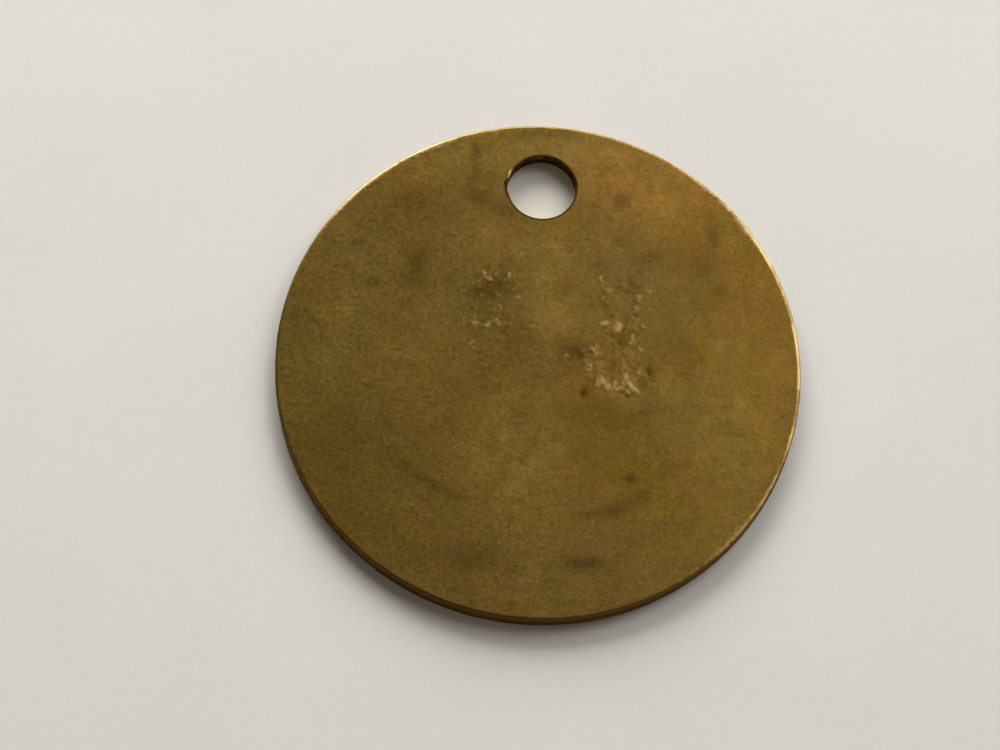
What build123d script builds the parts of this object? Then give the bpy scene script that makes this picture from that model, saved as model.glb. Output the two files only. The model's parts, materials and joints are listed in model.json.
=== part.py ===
"""Round brass tag: one flat disc blanked from sheet, with one hole punched near its edge.

The disc lies flat on XY with its underside at Z = 0 and its face at the top.
The origin is the centre of the underside, and the hole is on the +Y side.
All lengths are in millimetres.
"""

from build123d import *
import os

# Driving dimensions
DISC_DIAMETER = 38.0
THICKNESS = 1.5
HOLE_DIAMETER = 5.0
HOLE_TO_RIM = 2.35  # metal left between the hole and the rim

# Edges: blanking rolls the face's edge over a little, and tumbling breaks the others
FACE_RIM_ROUND = 0.15
UNDERSIDE_RIM_ROUND = 0.10
HOLE_ROUND = 0.05

# Worked-out sizes
DISC_RADIUS = DISC_DIAMETER / 2
HOLE_RADIUS = HOLE_DIAMETER / 2
HOLE_OFFSET = DISC_RADIUS - HOLE_TO_RIM - HOLE_RADIUS

with BuildPart() as brass_disc:
    # The outline and the hole are cut from sheet of one thickness
    with BuildSketch(Plane.XY):
        Circle(DISC_RADIUS)
        with Locations((0, HOLE_OFFSET)):
            Circle(HOLE_RADIUS, mode=Mode.SUBTRACT)
    extrude(amount=THICKNESS)

    # Each flat face has two round edges: the hole's is the shorter, the rim's the longer
    underside_hole, underside_rim = (
        brass_disc.faces().sort_by(Axis.Z)[0].edges().sort_by(SortBy.LENGTH)
    )
    face_hole, face_rim = (
        brass_disc.faces().sort_by(Axis.Z)[-1].edges().sort_by(SortBy.LENGTH)
    )
    fillet(face_rim, radius=FACE_RIM_ROUND)
    fillet(underside_rim, radius=UNDERSIDE_RIM_ROUND)
    fillet([face_hole, underside_hole], radius=HOLE_ROUND)

brass_disc.part.label = "brass_disc"

os.makedirs("parts", exist_ok=True)
export_step(brass_disc.part, "parts/brass_disc.step")
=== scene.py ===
"""Looks of a worn round brass tag, lying on pale paper in soft window light.

The worn disc is one closed mesh that stands for the plain CAD disc. Its outline, hole and thickness
come from the frame. Its marks are placed one by one, in millimetres from the disc's centre, with the
hanging hole at +Y. Each mark's tone is a point attribute, which the one brass material reads.
"""

import json
import math

import bpy
import numpy as np
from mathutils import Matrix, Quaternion, Vector
from mathutils.geometry import delaunay_2d_cdt


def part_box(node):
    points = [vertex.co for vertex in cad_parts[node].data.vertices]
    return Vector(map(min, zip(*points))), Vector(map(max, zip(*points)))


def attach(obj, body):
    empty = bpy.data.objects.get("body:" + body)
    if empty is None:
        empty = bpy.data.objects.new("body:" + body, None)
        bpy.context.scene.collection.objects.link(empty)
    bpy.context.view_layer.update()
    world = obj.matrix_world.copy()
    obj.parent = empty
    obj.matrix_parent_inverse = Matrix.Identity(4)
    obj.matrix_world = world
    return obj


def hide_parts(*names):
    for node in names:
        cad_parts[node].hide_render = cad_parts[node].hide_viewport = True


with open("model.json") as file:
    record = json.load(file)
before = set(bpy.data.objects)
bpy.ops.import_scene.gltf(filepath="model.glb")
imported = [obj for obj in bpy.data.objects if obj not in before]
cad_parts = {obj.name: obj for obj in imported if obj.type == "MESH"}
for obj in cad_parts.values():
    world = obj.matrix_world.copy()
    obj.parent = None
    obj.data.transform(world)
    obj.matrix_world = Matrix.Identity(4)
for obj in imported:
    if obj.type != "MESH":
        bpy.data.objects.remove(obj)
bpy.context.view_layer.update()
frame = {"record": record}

# ---------------------------------------------------------------- sizes, in millimetres
MM = 0.001
cad_low, cad_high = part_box("brass_disc")
RADIUS = min(-cad_low.x, cad_high.x) / MM
THICKNESS = (cad_high.z - cad_low.z) / MM
hanging_hole = next(m for m in frame["record"]["mounts"] if m["name"] == "hanging_hole")
HOLE_RADIUS = hanging_hole["dims"]["r_mm"]
HOLE_Y = hanging_hole["pos_m"][1] / MM

# Edge rounds, as on the CAD disc
FACE_RIM_ROUND = 0.15
UNDERSIDE_RIM_ROUND = 0.10
HOLE_ROUND = 0.05

# The face lies this far below the CAD face, and the underside this far above its own, so that the
# raised marks and the swells stay inside the CAD box
FACE_SINK = 0.03
UNDERSIDE_RISE = 0.01
# Both sides swell by about this much, and the face ripples finely as well
SWELL_HEIGHT = 0.010
RIPPLE_HEIGHT = 0.0022

# Mesh density
RIM_SEGMENTS = 960
HOLE_SEGMENTS = 240
ROUND_STEPS = 5
BORDERS = (0.18, 0.07)  # extra rings on the face, this far in from each round, keep edge tones narrow
WALL_STEPS = 9
FACE_SPACING = 0.21
MARKS_SPACING = 0.085
HOLE_SPACING = 1.3 * MARKS_SPACING
FINE_BORDER = 1.6  # how far round the hole its finer spacing reaches
UNDERSIDE_SPACING = 0.30
INSIDE_LOOPS = 1  # delaunay_2d_cdt's way of keeping only triangles inside the outer loop
POINTS_APART = 1e-7

# How steep an oval's sides are: a bell is soft, and a flat top has the steepest sides
BELL = 2.0
PIT_STEEPNESS = 2.2
STAIN_STEEPNESS = 2.4
FLAT_TOP = 3.0

# ---------------------------------------------------------------- marks on the face
# Ovals, down to the light areas: x, y, length, width, turn in degrees, strength
DARK_STAINS = [
    (-4.8, 16.9, 0.9, 1.6, 0, 0.40),
    (-5.0, 15.0, 0.8, 3.6, 3, 0.50),
    (-4.6, 13.0, 1.9, 1.2, -10, 0.90),
    (-2.8, 12.1, 2.4, 1.0, -25, 0.50),
    (-9.3, 12.3, 6.4, 3.6, 10, 0.35),
    (-10.2, 12.8, 2.4, 1.4, 10, 0.22),
    (-6.3, 11.7, 2.0, 1.4, 0, 0.20),
    (-9.0, 7.9, 2.7, 3.0, 0, 0.60),
    (-8.9, 6.7, 1.6, 1.6, 0, 0.55),
    (-13.3, 9.1, 0.9, 0.8, 0, 0.60),
    (-12.0, 6.1, 1.2, 0.8, 15, 0.90),
    (-6.6, 7.0, 1.6, 1.6, 0, 0.20),
    (1.7, 6.2, 2.0, 1.8, 0, 0.42),
    (5.8, 13.1, 1.1, 1.0, 0, 0.80),
    (5.0, 11.9, 0.7, 0.6, 0, 0.45),
    (3.7, 12.7, 0.8, 0.6, 0, 0.35),
    (4.6, 15.6, 1.0, 1.4, 0, 0.30),
    (6.9, 16.0, 0.6, 3.4, 0, 0.30),
    (5.9, 10.0, 1.4, 0.9, -20, 0.35),
    (8.0, 8.9, 2.0, 1.4, 20, 0.50),
    (4.3, 8.0, 0.9, 0.8, 0, 0.35),
    (12.7, 10.9, 1.0, 3.0, 8, 0.50),
    (12.0, 8.5, 2.4, 2.6, 0, 0.40),
    (13.1, 6.2, 1.4, 1.5, 0, 0.45),
    (0.2, 18.3, 5.0, 0.9, 0, 0.45),
    (-17.3, 3.0, 1.6, 4.0, 0, 0.20),
    (-15.8, -6.5, 6.0, 9.0, -25, 0.35),
    (-11.0, -12.5, 8.0, 4.0, -40, 0.20),
    (6.8, -8.4, 0.9, 0.8, 0, 0.90),
    (-4.2, -14.5, 5.0, 2.0, -4, 0.48),
    (-5.2, -14.8, 1.6, 1.0, 0, 0.30),
    (2.8, -14.8, 3.8, 1.3, 4, 0.62),
    (4.3, -14.6, 0.9, 0.6, 0, 0.50),
    (0.6, -12.7, 1.4, 0.7, 0, 0.20),
    (1.1, -5.4, 0.6, 0.5, 0, 0.40),
    (14.9, -6.9, 0.5, 0.5, 0, 0.50),
    (-14.0, -8.2, 0.6, 0.6, 0, 0.40),
    (-1.7, -18.0, 0.7, 0.6, 0, 0.50),
    (-3.8, 6.1, 3.3, 2.0, 4, 0.70),
    (-3.2, 6.6, 1.2, 1.0, 0, 0.25),
    (-3.0, 4.6, 4.2, 5.0, 20, 0.25),
    (-1.8, 2.2, 3.4, 3.6, 0, 0.25),
    (-5.6, 3.6, 1.2, 2.4, 0, 0.20),
    (-3.8, 0.3, 3.4, 3.0, 0, 0.12),
    (-0.4, 1.7, 1.0, 0.9, 0, 0.35),
    (2.6, 1.3, 1.8, 2.3, 10, 0.75),
    (3.3, -1.9, 1.4, 1.1, 60, 0.60),
    (6.0, 2.6, 1.6, 2.0, 0, 0.40),
    (5.4, 0.6, 1.6, 1.2, 0, 0.40),
    (7.9, 0.0, 1.1, 1.7, 0, 0.75),
    (6.9, 6.3, 1.4, 1.2, 0, 0.40),
    (4.8, 4.9, 1.6, 0.8, 0, 0.30),
    (4.4, -3.6, 6.6, 2.8, -6, 0.35),
    (5.0, -6.4, 5.0, 4.0, 0, 0.15),
    (10.6, 1.4, 3.0, 3.2, 0, 0.15),
]
# Smears, which aren't ovals: start x, y, end x, y, width, strength
DARK_SMEARS = [
    (-11.0, -6.4, -9.4, -7.8, 0.9, 0.30),
    (-9.4, -7.8, -7.6, -9.2, 1.0, 0.48),
    (-7.6, -9.2, -5.2, -10.1, 0.8, 0.42),
    (3.3, -11.2, 5.6, -10.7, 0.9, 0.50),
    (5.6, -10.7, 7.6, -9.4, 1.0, 0.45),
    (7.6, -9.4, 9.6, -7.2, 0.9, 0.20),
    (6.9, -3.4, 9.4, -2.6, 0.7, 0.30),
    (18.3, -2.8, 16.8, -3.6, 0.22, 0.45),
    (-17.0, 3.7, -15.9, 2.5, 0.22, 0.70),
]
RED_TINTS = [
    (6.6, 14.6, 8.0, 5.6, 0, 1.00),
    (8.5, 13.6, 6.0, 4.0, -30, 0.80),
    (11.0, 13.0, 6.0, 5.0, -45, 0.70),
    (12.2, 9.5, 2.6, 2.6, 0, 0.80),
    (15.5, 6.5, 4.0, 8.0, 20, 0.60),
    (17.4, -1.0, 2.6, 8.0, 0, 0.40),
    (4.4, 0.4, 4.8, 2.6, 10, 0.90),
    (3.3, -1.9, 2.0, 1.6, 0, 0.80),
    (1.6, 6.3, 1.8, 1.8, 0, 0.50),
    (11.2, -8.2, 2.4, 4.0, 20, 0.50),
    (10.8, -11.6, 1.6, 2.0, 0, 0.60),
    (-9.0, 13.4, 4.6, 1.8, -35, 0.60),
    (14.0, 3.0, 3.0, 4.0, 0, 0.40),
]
GREEN_TINTS = [
    (-17.3, 0.6, 5.4, 8.0, 0, 1.00),
    (-17.0, -1.0, 4.0, 6.0, 0, 0.70),
    (-14.5, -5.0, 5.0, 6.0, 0, 0.55),
    (-11.5, -8.2, 7.0, 5.0, 0, 0.65),
    (-11.0, 7.0, 3.0, 2.4, 0, 0.85),
    (-15.4, 9.0, 3.2, 1.6, -30, 0.70),
    (-12.0, 10.0, 2.0, 2.0, 0, 0.40),
    (-6.8, 16.6, 2.6, 2.4, 0, 0.70),
    (-3.6, 15.0, 1.6, 4.0, 0, 0.45),
    (-4.6, 4.6, 5.4, 4.0, 0, 0.65),
    (4.8, 5.2, 3.4, 4.0, 0, 0.55),
    (8.4, -2.8, 2.6, 4.2, 0, 0.85),
    (-2.0, -5.0, 4.0, 3.0, 0, 0.40),
    (2.4, -17.0, 1.8, 2.4, 0, 0.70),
    (3.8, -11.0, 3.4, 2.0, 0, 0.50),
    (-13.0, 3.0, 5.0, 5.0, 0, 0.30),
]
YELLOW_TINTS = [
    (3.8, -2.2, 2.6, 2.6, 0, 0.95),
    (7.2, -3.6, 2.4, 2.0, 0, 0.85),
    (4.4, -4.8, 6.0, 4.4, 0, 0.70),
    (6.4, -7.8, 5.0, 5.4, 0, 0.70),
    (10.5, -10.0, 6.0, 7.0, 20, 0.65),
    (11.6, 11.4, 5.4, 5.0, 0, 1.00),
    (13.1, 6.0, 2.4, 2.4, 0, 0.95),
    (16.0, 7.0, 4.0, 7.0, 20, 0.70),
    (7.9, 0.0, 1.8, 2.4, 0, 0.90),
    (5.4, 2.2, 1.8, 2.6, 0, 0.60),
    (1.7, 6.1, 1.8, 1.8, 0, 0.50),
    (16.6, -4.5, 2.4, 3.0, 0, 0.50),
    (10.8, 1.4, 3.0, 4.0, 0, 0.50),
    (-12.0, 6.1, 1.4, 1.2, 0, 0.60),
    (16.0, 0.0, 4.0, 8.0, 0, 0.40),
]
GREY_FILM = [
    (-5.0, 5.0, 7.0, 6.0, 0, 0.80),
    (6.4, 7.4, 4.8, 4.4, 0, 0.90),
    (8.2, 6.6, 2.4, 2.6, 0, 0.50),
    (-13.2, 8.0, 4.6, 7.0, 0, 0.60),
    (-6.0, 11.0, 6.0, 5.0, 0, 0.40),
    (0.4, -0.2, 3.4, 4.0, 0, 0.30),
    (5.2, 3.6, 2.8, 1.6, 0, 0.50),
    (-9.5, -10.6, 6.0, 3.0, -30, 0.40),
    (0.0, -15.8, 26.0, 7.0, 0, 0.55),
    (-14.0, -3.0, 7.0, 9.0, 0, 0.35),
    (5.0, 16.0, 12.0, 4.5, 0, 0.50),
]
# Lighter patina. The wide bands across the top and the bottom of the face are painted sheen
LIGHT_PATINA_AND_SHEEN = [
    (-1.6, -7.4, 6.8, 9.0, 8, 0.70),
    (14.6, -4.5, 5.0, 12.0, 0, 0.50),
    (17.0, 0.8, 2.4, 2.6, 0, 0.30),
    (9.0, 13.4, 5.0, 4.2, -30, 0.55),
    (13.6, 10.6, 3.0, 2.0, -45, 0.25),
    (-7.0, 16.2, 8.0, 2.2, 25, 0.40),
    (-14.5, 10.5, 2.0, 5.0, 35, 0.25),
    (0.6, 6.8, 3.6, 8.4, 0, 0.62),
    (-2.6, 9.6, 5.0, 2.4, 0, 0.25),
    (9.2, -1.2, 1.8, 3.0, 0, 0.55),
    (1.6, 3.6, 2.4, 2.0, 0, 0.35),
    (-9.9, 5.5, 0.4, 0.4, 0, 0.90),
    (-0.4, -16.8, 1.8, 3.2, 0, 0.45),
    (-14.0, 2.0, 6.0, 8.0, 0, 0.35),
    # Painted sheen across the top of the face
    (3.5, 16.6, 19.0, 5.5, -6, 0.62),
    (-8.0, 1.0, 5.0, 4.0, 0, 0.12),
    (-16.0, -3.0, 5.0, 9.0, 0, 0.16),
    # Painted sheen across the bottom of the face
    (0.0, -16.0, 18.0, 5.0, 0, 0.12),
]

# Lumps raised in the struck marks: x, y, length, width, turn in degrees, prominence
LUMP_HEIGHT = 0.010
LUMP_SPREAD = 1.15  # every lump is this much longer and wider than its row says
LUMPS = [
    (-4.1, 7.1, 0.45, 0.35, 110, 0.75),
    (-3.7, 6.8, 0.50, 0.40, 150, 0.75),
    (-3.3, 7.1, 0.40, 0.25, 30, 0.45),
    (-2.3, 7.1, 0.45, 0.35, 80, 0.90),
    (-1.6, 5.4, 0.50, 0.25, 10, 0.60),
    (-2.9, 4.6, 0.35, 0.22, 130, 0.50),
    (-5.7, 5.8, 0.30, 0.25, 0, 0.50),
    (-4.7, 3.3, 0.50, 0.42, 20, 0.85),
    (-3.7, 3.25, 0.55, 0.40, 20, 0.90),
    (-3.2, 3.6, 0.60, 0.35, 140, 0.65),
    (-2.9, 3.3, 0.50, 0.30, 140, 0.60),
    (-4.0, 3.9, 0.60, 0.40, 30, 0.40),
    (-4.9, 1.8, 0.50, 0.28, 70, 0.70),
    (-4.7, 1.35, 0.40, 0.25, 130, 0.60),
    (4.4, 7.1, 0.55, 0.40, 95, 0.65),
    (5.0, 6.2, 0.50, 0.40, 0, 0.55),
    (4.6, 5.6, 0.45, 0.35, 30, 0.40),
    (7.1, 5.7, 0.60, 0.50, 70, 0.60),
    (7.0, 4.8, 0.50, 0.40, 100, 0.45),
    (7.9, 6.3, 0.70, 0.60, 0, 0.45),
    (4.7, 3.6, 0.75, 0.38, 12, 0.95),
    (5.7, 3.35, 0.75, 0.65, 110, 1.00),
    (7.5, 3.5, 0.45, 0.30, 140, 0.55),
    (6.7, 2.5, 0.55, 0.30, 80, 0.65),
    (6.6, 2.15, 0.45, 0.30, 0, 0.60),
    (7.35, 1.7, 0.60, 0.30, 130, 0.55),
    (3.9, 1.6, 0.50, 0.35, 0, 0.50),
    (4.15, 1.2, 0.45, 0.35, 60, 0.70),
    (3.4, 0.65, 0.60, 0.35, 110, 0.55),
    (3.6, 0.15, 0.60, 0.40, 60, 0.65),
    (1.9, 0.95, 0.80, 0.60, 40, 0.50),
    (4.5, -0.85, 0.80, 0.50, 150, 0.95),
    (5.0, -1.2, 0.70, 0.45, 160, 0.95),
    (5.5, -1.0, 0.40, 0.30, 60, 0.70),
    (6.3, -0.5, 0.80, 0.40, 100, 0.95),
    (6.6, -1.05, 0.80, 0.42, 125, 1.00),
    (7.0, -1.5, 0.60, 0.35, 140, 0.95),
    (6.0, -1.3, 0.50, 0.40, 0, 0.60),
    (7.25, 0.0, 0.55, 0.30, 75, 0.60),
    (6.1, 0.3, 0.60, 0.30, 100, 0.50),
    (4.6, 0.3, 0.70, 0.40, 20, 0.35),
    (4.2, -1.15, 0.45, 0.30, 120, 0.80),
    (5.6, -1.45, 0.50, 0.28, 115, 0.85),
    (6.1, -0.95, 0.55, 0.25, 110, 0.90),
    (6.5, -1.6, 0.45, 0.25, 120, 0.80),
    (5.0, -0.6, 0.40, 0.30, 30, 0.55),
]
# Pits: x, y, length, width, turn in degrees, strength
PIT_DEPTH = 0.022
PITS = [
    (-2.8, 2.6, 0.55, 0.45, 60, 0.60),
    (-1.2, 2.9, 0.45, 0.40, 0, 0.35),
    (-4.3, -0.3, 0.40, 0.35, 0, 0.35),
    (-3.1, -1.4, 0.35, 0.30, 0, 0.25),
    (-3.0, 6.3, 0.70, 0.50, 30, 0.50),
    (-2.7, 6.9, 0.50, 0.35, 0, 0.60),
    (-2.9, 5.7, 0.50, 0.30, 120, 0.50),
    (-5.2, 5.3, 0.50, 0.40, 0, 0.25),
    (3.2, -1.9, 0.85, 0.50, 80, 1.00),
    (6.4, -1.95, 0.50, 0.35, 20, 0.90),
    (7.9, -0.1, 0.70, 0.40, 110, 0.70),
    (8.1, -0.7, 0.40, 0.30, 0, 0.50),
    (5.3, 2.6, 0.60, 0.40, 30, 0.50),
    (5.8, 2.0, 0.70, 0.35, 110, 0.45),
    (3.0, 0.9, 0.50, 0.35, 90, 0.60),
    (4.6, 4.9, 0.50, 0.35, 20, 0.30),
    (6.4, 6.8, 0.45, 0.35, 60, 0.50),
    (6.9, 4.2, 0.40, 0.30, 0, 0.40),
    (5.8, -1.75, 0.40, 0.30, 0, 0.40),
    (-12.0, 6.1, 0.60, 0.35, 20, 0.60),
    (6.7, -8.4, 0.40, 0.35, 0, 0.40),
]
# Where the face is roughened: x, y, length, width, turn in degrees, strength
ROUGH_SINK = 0.006
ROUGH_AREAS = [
    (-3.8, 6.3, 4.0, 2.8, 0, 0.90),
    (-3.7, 3.4, 3.4, 1.6, 0, 0.70),
    (-4.4, 1.5, 2.0, 2.0, 0, 0.50),
    (-2.2, 4.4, 2.8, 3.0, 0, 0.50),
    (4.9, 6.3, 2.6, 2.4, 0, 0.70),
    (7.0, 5.5, 3.0, 3.0, 0, 0.70),
    (5.6, 3.5, 3.6, 2.2, 0, 0.80),
    (6.7, 2.1, 2.6, 2.2, 0, 0.80),
    (3.8, 0.9, 2.2, 2.8, 0, 0.80),
    (5.6, -0.9, 4.6, 2.0, 0, 1.00),
    (7.2, -0.3, 2.0, 2.8, 0, 0.90),
    (5.5, 0.9, 3.0, 2.6, 0, 0.60),
]
CRUMB_SIZE = 0.55
CRUMB_HEIGHT = 0.006
FACETS = 420
FACET_HEIGHT = 0.005
# Cuts near the rim, which two of the dark smears fill: start x, y, end x, y, width
SCRATCH_DEPTH = 0.012
SCRATCHES = [
    (18.3, -2.8, 16.8, -3.6, 0.20),
    (-17.0, 3.7, -15.9, 2.5, 0.16),
]

# The nick at the hole's left edge: angle in degrees round the hole, width in degrees, depth
HOLE_NICKS = [
    (169.5, 4.0, 0.20),
    (176.5, 6.0, 0.30),
    (187.0, 9.0, 0.09),
]
NICK_HEIGHT = 0.8  # how far down the wall it reaches
NICK_Y = 0.3  # the nick's middle, up from the hole's centre
NICK_REACH = 0.65  # the face's loose points keep this far away from the nick
# The dirt packed beside the nick, with painted shade in its notch: x, y, length, width, turn in degrees
NICK_DIRT_AND_SHADE = (-2.62, 14.02, 1.25, 0.30, 96)
# The burr beside the nick, painted bright as fresh metal and as a highlight: x, y, length, width, turn
# in degrees
BURR = (-2.40, 15.08, 0.75, 0.13, 73)
BURR_HEIGHT = 0.03

# The unseen underside's random dents lie within this radius of a point just below the centre
DENTS = 26
DENTED_RADIUS = 16.5
DENTED_Y = -1.0
DEEP_DENT = 0.05  # a dent as deep as this would be full of grime

# Cut walls are sheared smooth above this share of the thickness, and torn below it
TEAR_LEVEL = 0.52
SHEAR_LINE_DEPTH = 0.0035
TEARING_DEPTH = 0.018
TEARING_RELIEF = 0.016
# Knocks along the rim and the hole are about this far apart, and reach this far down the wall
DING_SPACING = 6.0
DING_REACH = 0.55

# Where the rim's corner is rubbed bright, with a painted highlight along it: angle in degrees, width in
# degrees, strength
RUBBED_AND_HIGHLIT_RIM = [
    (12, 70, 1.0),
    (-40, 32, 0.4),
    (55, 50, 0.3),
    (128, 34, 0.9),
    (106, 20, 0.3),
]
# Where the rim's corner is darker: the same
DARKENED_RIM = [
    (173, 42, 0.65),
    (232, 50, 0.25),
]
# How wide the rubbed corner with its painted highlight is, and how far from the rim and the hole their
# darkening starts and stops fading
RUBBED_AND_HIGHLIT_WIDTH = 0.25
RIM_DARKENING_FADE = (0.20, 0.34)
HOLE_EDGE_DARKENING_FADE = (0.08, 0.18)


# ---------------------------------------------------------------- random clouds and soft shapes
def smooth_noise(x, y, size, seed):
    """Soft random hills and hollows about `size` across, from -1 to 1."""
    cells = 64  # the pattern repeats after this many hills
    lattice = np.random.default_rng(seed).uniform(-1, 1, (cells, cells))
    column = np.floor(x / size).astype(int)
    row = np.floor(y / size).astype(int)
    across = x / size - column
    up = y / size - row
    across = across ** 3 * (across * (across * 6 - 15) + 10)
    up = up ** 3 * (up * (up * 6 - 15) + 10)
    corner = [
        [lattice[(column + i) % cells, (row + j) % cells] for i in (0, 1)] for j in (0, 1)
    ]
    low = corner[0][0] * (1 - across) + corner[0][1] * across
    high = corner[1][0] * (1 - across) + corner[1][1] * across
    return low * (1 - up) + high * up


def cloud(x, y, size, seed, octaves=4):
    """Noise of several sizes, each half as large and turned, from about -1 to 1."""
    total = np.zeros_like(x)
    strength = 1.0
    for octave in range(octaves):
        total += strength * smooth_noise(x, y, size, seed + octave)
        x, y = 0.8 * x + 0.6 * y, 0.8 * y - 0.6 * x
        size /= 2
        strength /= 2
    return total / 1.5


def oval(x, y, centre_x, centre_y, length, width, turn, steepness=BELL):
    """1 at the middle of an oval, falling to 0.37 at its outline and 0 outside."""
    cosine = math.cos(math.radians(turn))
    sine = math.sin(math.radians(turn))
    along = ((x - centre_x) * cosine + (y - centre_y) * sine) / (length / 2)
    across = ((y - centre_y) * cosine - (x - centre_x) * sine) / (width / 2)
    return np.exp(-((along ** 2 + across ** 2) ** (steepness / 2)))


def smear(x, y, start_x, start_y, end_x, end_y, width):
    """1 along a line, falling to 0 at its sides."""
    run_x, run_y = end_x - start_x, end_y - start_y
    share = ((x - start_x) * run_x + (y - start_y) * run_y) / (run_x ** 2 + run_y ** 2)
    share = np.clip(share, 0, 1)
    distance = np.hypot(x - start_x - share * run_x, y - start_y - share * run_y)
    return np.exp(-((distance / (width / 2)) ** 2))


def most_of(layers):
    """Layers laid over each other, so that overlaps grow without passing 1."""
    left = 1.0
    for layer in layers:
        left = left * (1 - np.clip(layer, 0, 1))
    return 1 - left


def ovals(x, y, marks, steepness=BELL):
    """All the ovals of a list laid over each other, each at its own strength."""
    return most_of(m[5] * oval(x, y, *m[:5], steepness) for m in marks)


def step(value, low, high):
    """0 below low, 1 above high, and a smooth rise between."""
    share = np.clip((value - low) / (high - low), 0, 1)
    return share * share * (3 - 2 * share)


# ---------------------------------------------------------------- height of the face and underside
def facets(x, y, roughness):
    """Small random facets, up or down by at most 1.5, where the face is rough."""
    draw = np.random.default_rng(11)
    relief = np.zeros_like(x)
    areas = [ROUGH_AREAS[i] for i in draw.integers(0, len(ROUGH_AREAS), FACETS)]
    for area in areas:
        centre_x = area[0] + area[2] * draw.uniform(-0.62, 0.62)
        centre_y = area[1] + area[3] * draw.uniform(-0.62, 0.62)
        length = draw.uniform(0.20, 0.60)
        width = length * draw.uniform(0.4, 0.9)
        height = draw.uniform(-1.0, 1.0)
        turn = draw.uniform(0, 180)
        relief += height * oval(x, y, centre_x, centre_y, length, width, turn, FLAT_TOP)
    return np.clip(relief, -1.5, 1.5) * step(roughness, 0.05, 0.7)


def crumbs(x, y):
    """Crumbly high and low spots of the struck marks, about -1 to 1."""
    return cloud(x, y, CRUMB_SIZE, seed=71, octaves=3)


def lumps(x, y):
    layers = []
    for centre_x, centre_y, length, width, turn, prominence in LUMPS:
        size = (LUMP_SPREAD * length, LUMP_SPREAD * width)
        layers.append(prominence * oval(x, y, centre_x, centre_y, *size, turn, FLAT_TOP))
    return most_of(layers)


def pits(x, y):
    return ovals(x, y, PITS, PIT_STEEPNESS)


def face_height(x, y):
    """Height above the CAD face, never more than 0."""
    roughness = ovals(x, y, ROUGH_AREAS, FLAT_TOP)
    swell = SWELL_HEIGHT * cloud(x, y, 9.0, seed=21, octaves=2)
    ripple = RIPPLE_HEIGHT * cloud(x, y, 1.8, seed=31, octaves=3)
    height = swell + ripple - FACE_SINK
    height -= ROUGH_SINK * roughness
    height += FACET_HEIGHT * facets(x, y, roughness) + CRUMB_HEIGHT * roughness * crumbs(x, y)
    height += LUMP_HEIGHT * lumps(x, y) - PIT_DEPTH * pits(x, y)
    height += BURR_HEIGHT * oval(x, y, *BURR, FLAT_TOP)
    for scratch in SCRATCHES:
        height -= SCRATCH_DEPTH * smear(x, y, *scratch)
    return np.minimum(height, 0)


def underside_dents():
    """Shallow blunt dents from use, at random places: x, y, length, width, turn, depth."""
    draw = np.random.default_rng(5)
    dents = []
    for _ in range(DENTS):
        angle = draw.uniform(0, 2 * math.pi)
        reach = DENTED_RADIUS * math.sqrt(draw.uniform(0, 1))
        size = draw.uniform(0.5, 1.8)
        place = (reach * math.cos(angle), reach * math.sin(angle) + DENTED_Y)
        shape = (size, size * draw.uniform(0.4, 1.0), draw.uniform(0, 180))
        dents.append((*place, *shape, draw.uniform(0.01, 0.035)))
    return dents


def underside_height(x, y):
    """Height above the CAD underside, never less than 0."""
    height = SWELL_HEIGHT * cloud(x, y, 8.0, seed=51, octaves=2) + UNDERSIDE_RISE
    height += sum(m[5] * oval(x, y, *m[:5], STAIN_STEEPNESS) for m in underside_dents())
    return np.maximum(height, 0)


# ---------------------------------------------------------------- cut edges: the rim and the hole
def edge_profile(face_round, underside_round):
    """From face to underside: how far each ring is set in from the wall, and its height."""
    quarter = np.linspace(0, math.pi / 2, ROUND_STEPS + 1)
    borders = face_round + np.array(BORDERS)
    face_insets = np.append(borders, face_round * (1 - np.sin(quarter)))
    face_heights = np.append(THICKNESS + 0 * borders, THICKNESS - face_round * (1 - np.cos(quarter)))
    wall_heights = np.linspace(THICKNESS - face_round, underside_round, WALL_STEPS + 1)[1:-1]
    underside_insets = underside_round * (1 - np.cos(quarter))
    underside_heights = underside_round * (1 - np.sin(quarter))
    insets = np.concatenate([face_insets, 0 * wall_heights, underside_insets])
    heights = np.concatenate([face_heights, wall_heights, underside_heights])
    return insets, heights


def edge_dings(length, seed):
    """Small knocks along an edge of that length: place, width and depth of each."""
    draw = np.random.default_rng(seed)
    return [
        (draw.uniform(0, length), draw.uniform(0.25, 1.3), draw.uniform(0.01, 0.06))
        for _ in range(int(length / DING_SPACING))
    ]


def wall_relief(arc, height, length, seed):
    """How far a cut wall is set in: a smooth sheared band above, and a torn band below."""
    tear_line = THICKNESS * (TEAR_LEVEL + 0.05 * smooth_noise(arc, 0 * arc, 2.5, seed))
    torn = step(tear_line - height, -0.05, 0.12)
    shear_lines = SHEAR_LINE_DEPTH * (1 + smooth_noise(arc, 0.08 * height, 0.16, seed + 1))
    tearing = TEARING_DEPTH + TEARING_RELIEF * cloud(arc, height, 0.35, seed + 2, octaves=3)
    relief = shear_lines * (1 - torn) + tearing * torn
    for place, width, depth in edge_dings(length, seed + 9):
        near = (arc - place + length / 2) % length - length / 2
        knock = np.exp(-((near / (width / 2)) ** 2))
        relief = relief + depth * knock * step(height, THICKNESS - DING_REACH, THICKNESS - 0.2)
    return relief


def nick_relief(angle, height):
    """How far the nick at the hole's left edge is set in."""
    depth = 0.0
    for place, width, amount in HOLE_NICKS:
        depth = depth + amount * np.exp(-(((np.degrees(angle) - place) / (width / 2)) ** 2))
    return depth * step(height, THICKNESS - NICK_HEIGHT, THICKNESS - 0.1)


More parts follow.
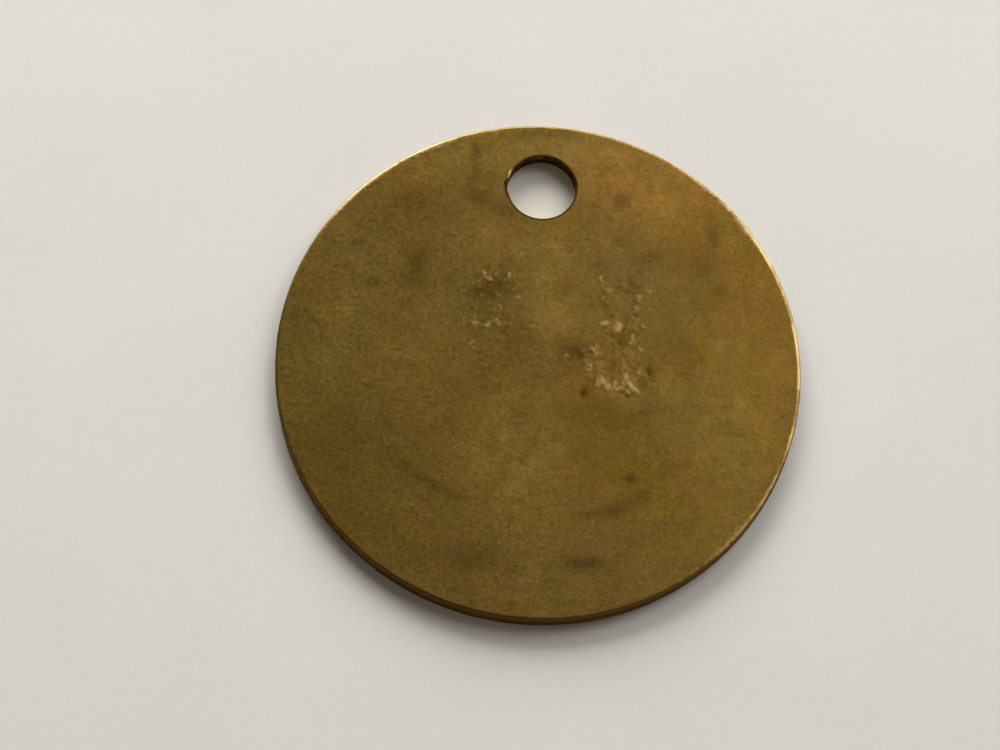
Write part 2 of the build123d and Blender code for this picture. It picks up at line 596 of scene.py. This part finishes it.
class CutEdge:
    """The rings of points down a cut edge, from the face's flat to the underside's flat.

    `outward` is 1 for the rim, whose wall faces out, and -1 for the hole.
    """

    def __init__(self, radius, centre_y, outward, segments, rounds, seed):
        self.segments = segments
        self.outward = outward
        insets, heights = edge_profile(*rounds)
        self.rings = len(insets)
        angle, inset = np.meshgrid(2 * math.pi * np.arange(segments) / segments, insets)
        height = np.repeat(heights[:, None], segments, axis=1)
        on_wall = 1 - step(inset, 0.0, 0.9 * max(rounds))
        relief = wall_relief(angle * radius, height, 2 * math.pi * radius, seed) * on_wall
        if outward < 0:
            relief = relief + nick_relief(angle, height)
        reach = radius - outward * (inset + relief)
        self.x = (reach * np.cos(angle)).ravel()
        self.y = (reach * np.sin(angle) + centre_y).ravel()
        self.z = height.ravel()
        self.wall = on_wall.ravel()
        self.torn = (on_wall * step(0.5 * THICKNESS - height, -0.05, 0.1)).ravel()

    def ring(self, number, first):
        """Vertex numbers of one ring, where the edge's points start at `first`."""
        return first + number * self.segments + np.arange(self.segments)

    def quads(self, first):
        faces = []
        for number in range(self.rings - 1):
            upper = self.ring(number, first)
            lower = self.ring(number + 1, first)
            corners = [upper, lower, np.roll(lower, -1), np.roll(upper, -1)]
            faces.append(np.stack(corners[:: self.outward], axis=1))
        return np.concatenate(faces).tolist()


# ---------------------------------------------------------------- the two flat sides
def fineness(x, y):
    """0 on the open face, 1 beside the hole, and 2 in the struck marks."""
    level = np.zeros(x.shape, int)
    from_hole = np.hypot(x, y - HOLE_Y)
    level[from_hole < HOLE_RADIUS + FINE_BORDER] = 1
    level[ovals(x, y, ROUGH_AREAS, FLAT_TOP) > 0.02] = 2
    return level


def triangular_grid(spacing):
    """Points of an even triangular grid over the disc."""
    row_step = spacing * math.sqrt(3) / 2
    rows = np.arange(-RADIUS, RADIUS, row_step)
    columns = np.arange(-RADIUS, RADIUS, spacing)
    x, y = np.meshgrid(columns, rows)
    x = x + spacing / 2 * (np.arange(len(rows)) % 2)[:, None]
    return x.ravel(), y.ravel()


def inside_flat(x, y, spacing):
    """True where a grid point is clear of the rim's and the hole's first rings and of the nick."""
    clear = 0.6 * spacing
    from_rim = RADIUS - FACE_RIM_ROUND - BORDERS[0] - np.hypot(x, y)
    from_hole = np.hypot(x, y - HOLE_Y) - HOLE_RADIUS - HOLE_ROUND - BORDERS[0]
    from_nick = np.hypot(x + HOLE_RADIUS + HOLE_ROUND, y - HOLE_Y - NICK_Y) - NICK_REACH
    return (from_rim > clear) & (from_hole > clear) & (from_nick > 0)


def face_points():
    points = []
    for level, spacing in enumerate((FACE_SPACING, HOLE_SPACING, MARKS_SPACING)):
        x, y = triangular_grid(spacing)
        keep = inside_flat(x, y, spacing)
        x, y = x[keep], y[keep]
        chosen = fineness(x, y) == level
        points.append(np.stack([x[chosen], y[chosen]], axis=1))
    return np.concatenate(points)


def underside_points():
    x, y = triangular_grid(UNDERSIDE_SPACING)
    keep = inside_flat(x, y, UNDERSIDE_SPACING)
    return np.stack([x[keep], y[keep]], axis=1)


def inside_hole(points, hole_loop):
    """True where a point is nearer the hole's centre than the loop is in that direction."""
    centre = np.array([0, HOLE_Y])
    loop_x, loop_y = (hole_loop - centre).T
    x, y = (points - centre).T
    loop_angle = np.arctan2(loop_y, loop_x)
    reach = np.interp(np.arctan2(y, x), loop_angle, np.hypot(loop_x, loop_y), period=2 * math.pi)
    return np.hypot(x, y) < reach


def triangles(points, rim_loop, hole_loop, upward):
    """Joins loose points and the two closed loops into triangles, leaving the hole open."""
    flat = np.concatenate([points, rim_loop, hole_loop])
    edges = []
    first = len(points)
    for loop in (rim_loop, hole_loop):
        numbers = first + np.arange(len(loop))
        edges += list(zip(numbers.tolist(), np.roll(numbers, -1).tolist()))
        first += len(loop)
    made = delaunay_2d_cdt([Vector(p) for p in flat], edges, [], INSIDE_LOOPS, POINTS_APART)
    if len(made[0]) != len(flat):
        raise ValueError("the flat's points overlap")
    faces = np.array(made[2])
    on_loop = (faces >= len(flat) - len(hole_loop)).all(axis=1)
    faces = faces[~(on_loop & inside_hole(flat[faces].mean(axis=1), hole_loop))]
    corner = flat[faces]
    side = corner[:, 1:] - corner[:, :1]
    turn = side[:, 0, 0] * side[:, 1, 1] - side[:, 0, 1] * side[:, 1, 0]
    wrong = (turn > 0) != upward
    faces[wrong] = faces[wrong][:, ::-1]
    return faces


# ---------------------------------------------------------------- the worn disc
def build_disc():
    """Makes the disc's mesh, and gives it with each point's place and kind."""
    rim_rounds = (FACE_RIM_ROUND, UNDERSIDE_RIM_ROUND)
    hole_rounds = (HOLE_ROUND, HOLE_ROUND)
    rim = CutEdge(RADIUS, 0.0, 1, RIM_SEGMENTS, rim_rounds, seed=71)
    hole = CutEdge(HOLE_RADIUS, HOLE_Y, -1, HOLE_SEGMENTS, hole_rounds, seed=91)
    top, bottom = face_points(), underside_points()
    x = np.concatenate([rim.x, hole.x, top[:, 0], bottom[:, 0]])
    y = np.concatenate([rim.y, hole.y, top[:, 1], bottom[:, 1]])
    z = np.concatenate([rim.z, hole.z, np.full(len(top), THICKNESS), np.zeros(len(bottom))])
    flats = np.zeros(len(top) + len(bottom))
    wall = np.concatenate([rim.wall, hole.wall, flats])
    torn = np.concatenate([rim.torn, hole.torn, flats])
    in_hole = np.zeros(len(x))
    in_hole[len(rim.x) : len(rim.x) + len(hole.x)] = 1

    hole_first = len(rim.x)
    top_first = hole_first + len(hole.x)
    bottom_first = top_first + len(top)
    faces = rim.quads(0) + hole.quads(hole_first)
    flat_xy = np.stack([x, y], axis=1)
    for first, points, rim_number, hole_number, upward in (
        (top_first, top, 0, 0, True),
        (bottom_first, bottom, rim.rings - 1, hole.rings - 1, False),
    ):
        rim_ring = rim.ring(rim_number, 0)
        hole_ring = hole.ring(hole_number, hole_first)
        numbers = np.concatenate([first + np.arange(len(points)), rim_ring, hole_ring])
        cap = triangles(points, flat_xy[rim_ring], flat_xy[hole_ring], upward)
        faces += numbers[cap].tolist()

    share = step(z, 0.25 * THICKNESS, 0.9 * THICKNESS)
    z = z + share * face_height(x, y) + (1 - share) * underside_height(x, y)
    mesh = bpy.data.meshes.new("worn_brass_disc")
    mesh.from_pydata((np.stack([x, y, z], axis=1) * MM).tolist(), [], faces)
    mesh.polygons.foreach_set("use_smooth", [True] * len(mesh.polygons))
    mesh.validate()
    disc = bpy.data.objects.new("worn_brass_disc", mesh)
    bpy.context.scene.collection.objects.link(disc)
    return disc, {"x": x, "y": y, "z": z, "share": share, "wall": wall, "torn": torn, "hole": in_hole}


# ---------------------------------------------------------------- tones: how much of each patina, and of painted shade, highlight and sheen
def face_tones(x, y):
    """How strong each tone is at each point of the face: patina, dirt and wear, and painted shade,
    highlight and sheen.
    """
    bent_x = x + 0.35 * cloud(x, y, 2.0, seed=101, octaves=3)
    bent_y = y + 0.35 * cloud(x, y, 2.0, seed=111, octaves=3)
    patches = np.clip(1.0 + 0.45 * cloud(x, y, 1.3, seed=121, octaves=3), 0.3, 1.6)
    stains = ovals(bent_x, bent_y, DARK_STAINS, STAIN_STEEPNESS) * patches
    smears = most_of(m[5] * smear(bent_x, bent_y, *m[:5]) for m in DARK_SMEARS)
    roughness = ovals(x, y, ROUGH_AREAS, FLAT_TOP)
    high = 0.6 * crumbs(x, y) + 0.6 * facets(x, y, roughness)
    return {
        "stain": most_of([stains, smears]),
        "red": ovals(bent_x, bent_y, RED_TINTS) * patches,
        "green": ovals(bent_x, bent_y, GREEN_TINTS) * patches,
        "yellow": ovals(bent_x, bent_y, YELLOW_TINTS) * patches,
        "grey": ovals(bent_x, bent_y, GREY_FILM) * patches,
        # Lighter patina, and painted sheen across the top and bottom of the face
        "light": ovals(bent_x, bent_y, LIGHT_PATINA_AND_SHEEN) * patches,
        # Dirt in the pits, and painted shade in the crumbs' low spots
        "grime_and_shade": most_of([0.9 * pits(x, y), 0.30 * roughness * step(-high, 0.1, 0.9)]),
        # Rubbed lumps and high spots, painted bright as highlights as well
        "worn": most_of([0.66 * lumps(x, y), 0.26 * roughness * step(high, 0.0, 0.9)]),
        "rough": roughness,
    }


def underside_tones(x, y):
    """The same tones for the unseen side, all random."""
    dents = most_of(
        oval(x, y, *m[:5], STAIN_STEEPNESS) * m[5] / DEEP_DENT for m in underside_dents()
    )
    return {
        "stain": 0.55 * step(cloud(x, y, 7.0, seed=201), 0.05, 0.8),
        "red": 0.6 * step(cloud(x, y, 9.0, seed=211), 0.0, 0.8),
        "green": 0.6 * step(cloud(x, y, 7.0, seed=216), 0.0, 0.8),
        "yellow": 0.6 * step(cloud(x, y, 8.0, seed=221), 0.0, 0.8),
        "grey": 0.6 * step(cloud(x, y, 8.0, seed=226), 0.0, 0.8),
        "light": 0.5 * step(cloud(x, y, 6.0, seed=231), 0.1, 0.8),
        "grime_and_shade": 0.6 * dents,
        "worn": 0 * x,
        "rough": 0 * x,
    }


def along_rim(angle, stretches):
    """How strong a tone of the rim's corner is round the disc, with random breaks."""
    strength = 0 * angle
    for place, width, amount in stretches:
        away = (angle - place + 180) % 360 - 180
        strength = strength + amount * np.exp(-((away / (width / 2)) ** 4))
    broken = step(cloud(angle / 3, 0 * angle, 1.7, seed=301, octaves=3), -0.8, 0.2)
    return np.clip(strength, 0, 1) * (0.35 + 0.65 * broken)


def rim_tones(x, y, share, wall):
    """The rubbed stretches of the rim's corner, painted bright as a highlight as well, and its darker
    stretches.
    """
    from_rim = RADIUS - np.hypot(x, y)
    angle = np.degrees(np.arctan2(y, x))
    inner_edge = RUBBED_AND_HIGHLIT_WIDTH + 0.08 * cloud(angle / 3, 0 * angle, 2.1, seed=321, octaves=3)
    corner = share * (1 - step(from_rim, inner_edge, inner_edge + 0.08)) * (1 - step(wall, 0.95, 1.0))
    # Rubbed metal along the rim's corner, painted bright as a highlight as well
    rubbed = corner * along_rim(angle, RUBBED_AND_HIGHLIT_RIM)
    # A darker line along the rim's corner, mostly on the left
    dirt = share * (1 - step(from_rim, *RIM_DARKENING_FADE)) * along_rim(angle, DARKENED_RIM)
    return rubbed, dirt


def hole_tones(x, y, z, share, wall):
    """The burr; the darker ring round the hole's edge; dirt and painted shade in the nick; and the
    hole's wall, painted darker towards the rim's side, where it stands in shade, over mottled dirt.
    """
    burr = share * oval(x, y, *BURR, FLAT_TOP)
    from_hole = np.hypot(x, y - HOLE_Y) - HOLE_RADIUS
    uphill = (y - HOLE_Y) / HOLE_RADIUS  # 1 at the side of the hole nearest the rim
    # A darker ring round the hole's edge, fainter on the side nearest the rim
    hole_edge_darkening = (1 - step(from_hole, *HOLE_EDGE_DARKENING_FADE)) * (1 - step(wall, 0.7, 1.0)) * (1 - burr)
    hole_edge_darkening = hole_edge_darkening * (1 - 0.6 * step(uphill, 0.0, 0.7))
    # Dirt and painted shade beside the nick
    nick_dirt_and_shade = share * (1 - burr) * oval(x, y, *NICK_DIRT_AND_SHADE, FLAT_TOP)
    mottling = 0.45 * cloud(x + y, z, 0.5, seed=311, octaves=3)
    # Painted shade on the hole's wall, darker towards the rim's side, over a little mottled dirt; the
    # nick's wall is painted dark as well
    ragged = 0.10 + 0.72 * step(uphill, -0.5, 0.3) + mottling
    in_nick = step(from_hole, 0.08, 0.15)
    hole_wall_shade_and_dirt = wall * np.clip(ragged + in_nick, 0, 1)
    return burr, hole_edge_darkening, nick_dirt_and_shade, hole_wall_shade_and_dirt


def paint_tones(mesh, place):
    """Writes each tone as a point attribute that the material reads."""
    x, y, share, wall = place["x"], place["y"], place["share"], place["wall"]
    face, underside = face_tones(x, y), underside_tones(x, y)
    tones = {name: share * face[name] + (1 - share) * underside[name] for name in face}
    in_hole = place["hole"] > 0
    rubbed, rim_darkening = rim_tones(x, y, share, wall)
    burr, hole_edge_darkening, nick_dirt_and_shade, hole_wall_shade_and_dirt = hole_tones(x, y, place["z"], share, wall)
    hole_wall_shade_or_rim_darkening = np.where(in_hole, hole_wall_shade_and_dirt, rim_darkening)
    # Rubbed metal on the rim's corner and the burr, with their painted highlight
    tones["bare_and_highlight"] = most_of([np.where(in_hole, 0, rubbed), burr])
    # Dirt, and painted shade in the crumbs, the nick and the hole's far wall
    tones["grime_and_shade"] = most_of([tones["grime_and_shade"], 0.95 * hole_edge_darkening, 0.9 * nick_dirt_and_shade, hole_wall_shade_or_rim_darkening])
    # The darkest tone: the ring round the hole's edge, and dirt with painted shade in the nick
    tones["caked_and_shade"] = most_of([0.8 * hole_edge_darkening, nick_dirt_and_shade])
    tones["wall"] = np.where(in_hole, 0.4 * wall, step(wall, 0.15, 0.8))
    tones["hole_wall"] = np.where(in_hole, wall, 0)
    tones["torn"] = place["torn"]
    for name, values in tones.items():
        attribute = mesh.attributes.new(name, "FLOAT", "POINT")
        attribute.data.foreach_set("value", values.astype(np.float32))


# ---------------------------------------------------------------- node helpers
MIX_FACTOR, MIX_A, MIX_B, MIX_RESULT = 0, 6, 7, 2  # a colour mix's sockets


def node(tree, kind, inputs, **settings):
    """Adds a node, with its settings, and fills or links its inputs."""
    made = tree.nodes.new(kind)
    for name, value in settings.items():
        setattr(made, name, value)
    for key, value in inputs.items():
        if isinstance(value, bpy.types.NodeSocket):
            tree.links.new(value, made.inputs[key])
        else:
            made.inputs[key].default_value = value
    return made


def math_node(tree, operation, first, second, clamp=False):
    inputs = {0: first, 1: second}
    return node(tree, "ShaderNodeMath", inputs, operation=operation, use_clamp=clamp).outputs[0]


def mix_colour(tree, factor, first, second, blend="MIX"):
    inputs = {MIX_FACTOR: factor, MIX_A: first, MIX_B: second}
    made = node(tree, "ShaderNodeMix", inputs, data_type="RGBA", blend_type=blend)
    return made.outputs[MIX_RESULT]


def tone(tree, name):
    return node(tree, "ShaderNodeAttribute", {}, attribute_name=name).outputs["Fac"]


def remap(tree, value, low, high, to_low, to_high):
    inputs = {
        "Value": value, "From Min": low, "From Max": high, "To Min": to_low, "To Max": to_high,
    }
    return node(tree, "ShaderNodeMapRange", inputs).outputs["Result"]


def millimetres(tree, stretch=(1, 1, 1), turn=0.0):
    """Places on the object in millimetres, turned about Z and stretched."""
    place = node(tree, "ShaderNodeTexCoord", {}).outputs["Object"]
    inputs = {
        "Vector": place,
        "Rotation": (0, 0, math.radians(turn)),
        "Scale": [part / MM for part in stretch],
    }
    return node(tree, "ShaderNodeMapping", inputs).outputs["Vector"]


def noise(tree, place, size, detail=3.0, roughness=0.5):
    """Noise about `size` millimetres across, from 0 to 1."""
    inputs = {"Vector": place, "Scale": 1 / size, "Detail": detail, "Roughness": roughness}
    return node(tree, "ShaderNodeTexNoise", inputs).outputs["Fac"]


def add_bump(tree, shader, relief, strength, depth):
    bump = {"Height": relief, "Strength": strength, "Distance": depth * MM}
    tree.links.new(node(tree, "ShaderNodeBump", bump).outputs["Normal"], shader.inputs["Normal"])


def new_material(name):
    material = bpy.data.materials.new(name)
    material.use_nodes = True
    tree = material.node_tree
    return material, tree, tree.nodes["Principled BSDF"]


# ---------------------------------------------------------------- the aged brass
# Colours of the metal and of what lies on it, as linear red, green, blue
BRASS = (0.194, 0.1165, 0.0238, 1)
BRASS_YELLOW = (0.194, 0.1172, 0.0140, 1)
BRASS_GREY = (0.185, 0.1132, 0.0330, 1)
BRASS_RED = (0.224, 0.1165, 0.0240, 1)
BRASS_GREEN = (0.172, 0.1150, 0.0246, 1)
STAIN = (0.072, 0.0425, 0.0090, 1)
# Dirt in pits and dents, and painted shade in the crumbs' low spots, the nick and the hole's far wall;
# also the darker rim corner and hole ring
GRIME_AND_SHADE = (0.052, 0.0285, 0.0035, 1)
# The darkest tone: the ring round the hole's edge, and dirt with painted shade in the nick
CAKED_AND_SHADE = (0.016, 0.0105, 0.0030, 1)
# Rubbed high spots, painted bright as highlights as well
RUBBED_AND_HIGHLIGHT = (0.500, 0.3200, 0.1180, 1)
# Metal rubbed bright on the rim's corner and the burr, with a painted highlight
BARE_AND_HIGHLIGHT = (0.700, 0.4800, 0.2000, 1)
CUT_WALL = (0.195, 0.1060, 0.0300, 1)
HOLE_WALL = (0.560, 0.3900, 0.1050, 1)
TORN_WALL = (0.180, 0.0900, 0.0280, 1)
# Lighter patina and painted sheen are multiplied by this
PATINA_AND_SHEEN_LIGHTENER = (1.42, 1.47, 1.50, 1)  # light areas are multiplied by this
DULL_GLARE = (0.62, 0.52, 0.42, 1)  # the patina dulls reflections that graze the disc


def times(tree, name, factor, strength=1.0):
    """A tone broken up by a noise, at some strength."""
    broken = math_node(tree, "MULTIPLY", tone(tree, name), factor)
    return math_node(tree, "MULTIPLY", broken, strength)


def crisp(tree, name, noises, strength=1.0):
    """A tone with a ragged outline and a speckled inside, for grains, pits and rubbed edges."""
    fine, grain = noises["fine"], noises["grain"]
    ragged = math_node(tree, "ADD", tone(tree, name), remap(tree, fine, 0.3, 0.7, -0.30, 0.30))
    outline = remap(tree, ragged, 0.05, 0.50, 0, 1)
    inside = remap(tree, math_node(tree, "ADD", fine, grain), 0.7, 1.3, 0.5, 1.3)
    return times(tree, name, math_node(tree, "MULTIPLY", outline, inside), strength)


def scratches(tree, turn, size, amount):
    """Fine straight scratches in one direction: 1 on a scratch and 0 beside it."""
    place = millimetres(tree, (1 / 40, 1, 1), turn)
    lines = noise(tree, place, size, 1.0)
    gaps = noise(tree, millimetres(tree), 3.0, 1.0)
    line = remap(tree, lines, 0.70, 0.78, 0, 1)
    return math_node(tree, "MULTIPLY", line, remap(tree, gaps, 0.45, 0.65, 0, amount))


def brass_noises(tree):
    """The noises that break up the patina, from broad clouds to fine grain."""
    place = millimetres(tree)
    noises = {
        "broad": noise(tree, place, 4.0, 5.0, 0.6),
        "middle": noise(tree, place, 1.1, 5.0, 0.65),
        "ruddy": noise(tree, millimetres(tree, turn=-65.0), 1.0, 5.0, 0.65),
        "crumb": noise(tree, millimetres(tree, turn=20.0), 0.42, 3.0, 0.65),
        "fine": noise(tree, place, 0.30, 4.0, 0.7),
        "grain": noise(tree, place, 0.09, 2.0, 0.6),
    }
    other = noise(tree, millimetres(tree, turn=40.0), 1.4, 5.0, 0.65)
    sum_of_two = math_node(tree, "ADD", other, noises["fine"])
    noises["hue"] = math_node(tree, "MULTIPLY", sum_of_two, 0.5)
    return noises


def patina_colour(tree, noises, broken):
    """The flat sides: four tints, lighter patina with painted sheen, stains and mottling over the brass.
    """
    colour = BRASS
    for name, spread, low, high, at_low, at_high, tint in (
        ("yellow", "hue", 0.5, 0.7, 0, 0.7, BRASS_YELLOW),
        ("grey", "hue", 0.3, 0.5, 0.7, 0, BRASS_GREY),
        ("green", "ruddy", 0.3, 0.5, 0.5, 0, BRASS_GREEN),
        ("red", "ruddy", 0.5, 0.7, 0, 0.5, BRASS_RED),
    ):
        anywhere = remap(tree, noises[spread], low, high, at_low, at_high)
        amount = math_node(tree, "ADD", times(tree, name, broken), anywhere)
        colour = mix_colour(tree, amount, colour, tint)
    colour = mix_colour(tree, times(tree, "light", broken), colour, PATINA_AND_SHEEN_LIGHTENER, "MULTIPLY")
    colour = mix_colour(tree, times(tree, "stain", broken), colour, STAIN)
    for name, darkest, lightest in (
        ("broad", 0.92, 1.08),
        ("middle", 0.89, 1.11),
        ("fine", 0.86, 1.14),
        ("grain", 0.82, 1.18),
    ):
        mottling = remap(tree, noises[name], 0.3, 0.7, darkest, lightest)
        colour = mix_colour(tree, 1.0, colour, mottling, "MULTIPLY")
    return colour


def wall_colour(tree, noises, broken, colour):
    """The cut walls of the rim and the hole, with their torn lower band."""
    fine = remap(tree, noises["fine"], 0.3, 0.7, 0.6, 1.4)
    grain = remap(tree, noises["grain"], 0.35, 0.65, 0.6, 1.4)
    speckled = math_node(tree, "MULTIPLY", fine, grain)
    colour = mix_colour(tree, times(tree, "wall", broken), colour, CUT_WALL)
    colour = mix_colour(tree, times(tree, "hole_wall", broken), colour, HOLE_WALL)
    return mix_colour(tree, times(tree, "torn", speckled, 0.8), colour, TORN_WALL)


def wear_colour(tree, noises, colour):
    """Painted shade and painted highlight on the crumbs of the struck marks, then dirt with painted
    shade, then metal rubbed bright with painted highlights.
    """
    # Painted shade in the crumbs' low spots, and painted highlight on their high spots
    shaded_crumbs = remap(tree, noises["crumb"], 0.46, 0.32, 0, 0.45)
    highlit_crumbs = remap(tree, noises["crumb"], 0.53, 0.68, 0, 0.27)
    colour = mix_colour(tree, times(tree, "rough", shaded_crumbs), colour, GRIME_AND_SHADE)
    colour = mix_colour(tree, times(tree, "rough", highlit_crumbs), colour, RUBBED_AND_HIGHLIGHT)
    # Dirt in the pits, and painted shade in the crumbs, the nick and the hole's far wall
    colour = mix_colour(tree, crisp(tree, "grime_and_shade", noises), colour, GRIME_AND_SHADE)
    # The darkest tone round the hole's edge, with painted shade in the nick
    colour = mix_colour(tree, crisp(tree, "caked_and_shade", noises), colour, CAKED_AND_SHADE)
    # Rubbed high spots of the lumps and crumbs, with their painted highlights
    colour = mix_colour(tree, crisp(tree, "worn", noises, 1.1), colour, RUBBED_AND_HIGHLIGHT)
    # Metal rubbed bright on the rim's corner and the burr, with their painted highlight
    return mix_colour(tree, crisp(tree, "bare_and_highlight", noises), colour, BARE_AND_HIGHLIGHT)


def brass_dullness(tree, noises, lines):
    """Roughness: rougher where there is dirt or a cut wall, smoother where rubbed or scratched."""
    dullness = remap(tree, noises["fine"], 0.3, 0.7, 0.32, 0.42)
    for name, change in (
        ("stain", 0.06),
        ("grime_and_shade", 0.10),
        ("wall", 0.22),
        ("worn", -0.02),
        ("bare_and_highlight", -0.03),
    ):
        more = math_node(tree, "MULTIPLY", tone(tree, name), change)
        dullness = math_node(tree, "ADD", dullness, more)
    return math_node(tree, "SUBTRACT", dullness, math_node(tree, "MULTIPLY", lines, 0.05), True)


def aged_brass():
    """Dull handled brass: mottled patina, stains, dark dirt in the pits, rubbed high spots, and painted
    shade, highlights and sheen.
    """
    material, tree, shader = new_material("aged_brass")
    noises = brass_noises(tree)
    broken = remap(tree, noises["middle"], 0.3, 0.7, 0.75, 1.25)
    colour = patina_colour(tree, noises, broken)
    colour = wall_colour(tree, noises, broken, colour)
    colour = wear_colour(tree, noises, colour)
    tree.links.new(colour, shader.inputs["Base Color"])

    lines = math_node(tree, "MAXIMUM", scratches(tree, 24, 0.10, 1), scratches(tree, -51, 0.13, 1))
    lines = math_node(tree, "MAXIMUM", lines, scratches(tree, 83, 0.08, 0.8))
    tree.links.new(brass_dullness(tree, noises, lines), shader.inputs["Roughness"])
    shader.inputs["Metallic"].default_value = 1.0
    shader.inputs["Specular Tint"].default_value = DULL_GLARE

    half_grain = math_node(tree, "MULTIPLY", noises["grain"], 0.5)
    relief = math_node(tree, "ADD", noises["fine"], half_grain)
    relief = math_node(tree, "SUBTRACT", relief, math_node(tree, "MULTIPLY", lines, 0.3))
    add_bump(tree, shader, relief, 0.5, 0.010)
    return material


# ---------------------------------------------------------------- the paper
PAPER_DARK = (0.775, 0.765, 0.735, 1)
PAPER_LIGHT = (0.80, 0.79, 0.765, 1)


def paper():
    """Plain pale paper with a faint tooth."""
    material, tree, shader = new_material("pale_paper")
    place = millimetres(tree)
    tooth = noise(tree, place, 0.9, 6.0, 0.65)
    blotch = noise(tree, place, 14.0, 2.0)
    shade = remap(tree, math_node(tree, "ADD", tooth, blotch), 0.8, 1.2, 0, 1)
    colour = mix_colour(tree, shade, PAPER_DARK, PAPER_LIGHT)
    tree.links.new(colour, shader.inputs["Base Color"])
    shader.inputs["Roughness"].default_value = 0.9
    shader.inputs["Specular IOR Level"].default_value = 0.2
    add_bump(tree, shader, tooth, 0.25, 0.05)
    return material


# ---------------------------------------------------------------- camera, light and floor
FACE_CENTRE = Vector((0, 0, cad_high.z))
CAMERA_DISTANCE = 17.095 * RADIUS * MM
CAMERA_AZIMUTH = -7.8
CAMERA_ELEVATION = 69.4
CAMERA_ROLL = 9.35
CAMERA_PAN = 0.493
CAMERA_TILT = -0.093
LENS_MM = 162.0
SENSOR_MM = 36.0

DAYLIGHT = (1.0, 0.985, 0.95)
WARM_LIGHT = (1.0, 0.88, 0.70)
PALE_WALL_LIGHT = (1.0, 0.95, 0.88)
# Soft panels: azimuth and elevation in degrees, distance, width and height in metres, watts, colour
PANELS = {
    "window": (188, 26, 0.58, 0.505, 0.365, 4.38, DAYLIGHT),
    "side_wall": (133, 41.3, 1.00, 0.56, 0.94, 5.25, DAYLIGHT),
    "ceiling": (75, 72, 0.80, 0.50, 0.50, 0.16, WARM_LIGHT),
    "fill": (-80, 34, 0.80, 0.60, 0.40, 0.46, WARM_LIGHT),
    "far_wall": (46, 15, 1.20, 1.60, 0.55, 1.40, PALE_WALL_LIGHT),
}
ROOM_COLOUR = (1.0, 0.85, 0.62, 1)
ROOM_BRIGHTNESS = 0.028

FLOOR_REACH = 1.2
FLOOR_GAP = 0.004 * MM  # the paper lies just below the disc, so that they never touch


def direction(azimuth, elevation):
    """Unit vector away from the disc. Azimuth 0 is towards -Y, and 90 towards +X."""
    a, e = math.radians(azimuth), math.radians(elevation)
    return Vector((math.sin(a) * math.cos(e), -math.cos(a) * math.cos(e), math.sin(e)))


def add_camera():
    back = direction(CAMERA_AZIMUTH, CAMERA_ELEVATION)
    turn = (-back).to_track_quat("-Z", "Y")
    turn @= Quaternion((0, 0, 1), math.radians(CAMERA_ROLL))
    turn @= Quaternion((0, 1, 0), math.radians(CAMERA_PAN))
    turn @= Quaternion((1, 0, 0), math.radians(CAMERA_TILT))
    data = bpy.data.cameras.new("camera")
    data.lens = LENS_MM
    data.sensor_width = SENSOR_MM
    data.clip_start, data.clip_end = 0.01, 10.0
    camera = bpy.data.objects.new("camera", data)
    camera.location = FACE_CENTRE + back * CAMERA_DISTANCE
    camera.rotation_mode = "QUATERNION"
    camera.rotation_quaternion = turn
    bpy.context.scene.collection.objects.link(camera)
    bpy.context.scene.camera = camera


def add_panel(name, azimuth, elevation, distance, width, height, watts, colour):
    """A soft rectangular light that faces the disc."""
    data = bpy.data.lights.new(name, "AREA")
    data.shape = "RECTANGLE"
    data.size, data.size_y = width, height
    data.energy = watts
    data.color = colour
    panel = bpy.data.objects.new(name, data)
    away = direction(azimuth, elevation)
    panel.location = away * distance
    panel.rotation_mode = "QUATERNION"
    panel.rotation_quaternion = (-away).to_track_quat("-Z", "Y")
    bpy.context.scene.collection.objects.link(panel)


def add_room_light():
    """The dim warm light that comes from everywhere else in the room."""
    world = bpy.data.worlds.new("room")
    world.use_nodes = True
    background = world.node_tree.nodes["Background"]
    background.inputs["Color"].default_value = ROOM_COLOUR
    background.inputs["Strength"].default_value = ROOM_BRIGHTNESS
    bpy.context.scene.world = world


def add_floor():
    side = FLOOR_REACH
    mesh = bpy.data.meshes.new("floor")
    corners = [(-side, -side), (side, -side), (side, side), (-side, side)]
    mesh.from_pydata([(x, y, -FLOOR_GAP) for x, y in corners], [], [(0, 1, 2, 3)])
    floor = bpy.data.objects.new("floor", mesh)
    bpy.context.scene.collection.objects.link(floor)
    mesh.materials.append(paper())


# ---------------------------------------------------------------- the scene
bpy.context.scene.view_settings.view_transform = "Standard"
add_camera()
for panel_name, panel_values in PANELS.items():
    add_panel(panel_name, *panel_values)
add_room_light()
add_floor()

worn_disc, point_places = build_disc()
paint_tones(worn_disc.data, point_places)
worn_disc.data.materials.append(aged_brass())
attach(worn_disc, "root")
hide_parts("brass_disc")
